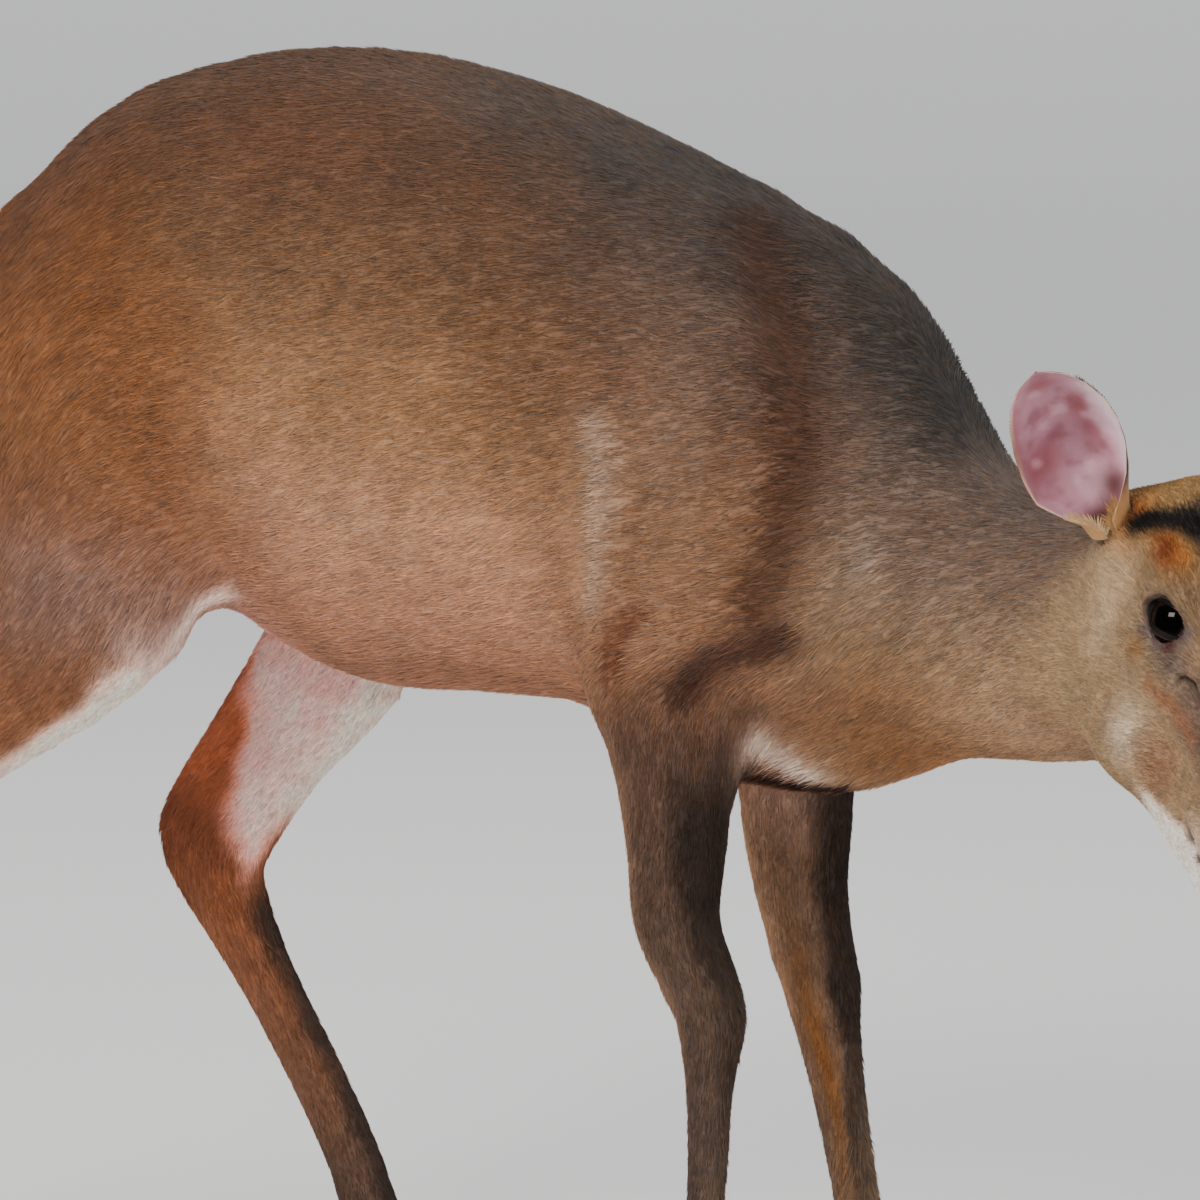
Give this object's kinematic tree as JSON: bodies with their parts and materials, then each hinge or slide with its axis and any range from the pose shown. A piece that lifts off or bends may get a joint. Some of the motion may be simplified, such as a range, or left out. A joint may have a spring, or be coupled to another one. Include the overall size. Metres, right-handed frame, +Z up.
{
  "type": "muntjac",
  "caption": "Life-size female red muntjac, a small reddish-brown deer, standing mid-step with a hind leg forward and its lowered head turned to its right",
  "frame": {"origin": "Centre of the bounding box in plan, on the floor under the soles of the hooves", "axes": "+X ahead along the trunk, +Y to the animal's left, +Z up"},
  "size_m": [0.761, 0.2454, 0.5404],
  "materials": {
    "eye": "glossy near-black eyeball",
    "horn": "dark horn of the hooves and dewclaws, slightly worn",
    "ear": "thin skin, pink within and short-haired behind",
    "nose": "bare moist black skin",
    "rump_fur": "short sleek orange-brown hair",
    "flank_fur": "short sleek reddish-brown hair",
    "neck_fur": "short grey-brown hair",
    "face_fur": "very short tan hair, white below the chin",
    "leg_fur": "very short dark brown hair"
  },
  "bodies": {
    "root": {"barrel": "flank_fur", "cannon_fore_left": "leg_fur", "cannon_fore_right": "leg_fur", "cannon_hind_left": "leg_fur", "cannon_hind_right": "leg_fur", "dewclaw_fore_left_left": "horn", "dewclaw_fore_left_right": "horn", "dewclaw_fore_right_left": "horn", "dewclaw_fore_right_right": "horn", "dewclaw_hind_left_left": "horn", "dewclaw_hind_left_right": "horn", "dewclaw_hind_right_left": "horn", "dewclaw_hind_right_right": "horn", "ear_left": "ear", "ear_right": "ear", "eye_left": "eye", "eye_right": "eye", "forearm_left": "leg_fur", "forearm_right": "leg_fur", "forequarters": "flank_fur", "gaskin_left": "rump_fur", "gaskin_right": "rump_fur", "head": "face_fur", "hindquarters": "rump_fur", "hoof_fore_left_left": "horn", "hoof_fore_left_right": "horn", "hoof_fore_right_left": "horn", "hoof_fore_right_right": "horn", "hoof_hind_left_left": "horn", "hoof_hind_left_right": "horn", "hoof_hind_right_left": "horn", "hoof_hind_right_right": "horn", "neck": "neck_fur", "nose": "nose", "tail": "rump_fur"}
  },
  "joints": []
}
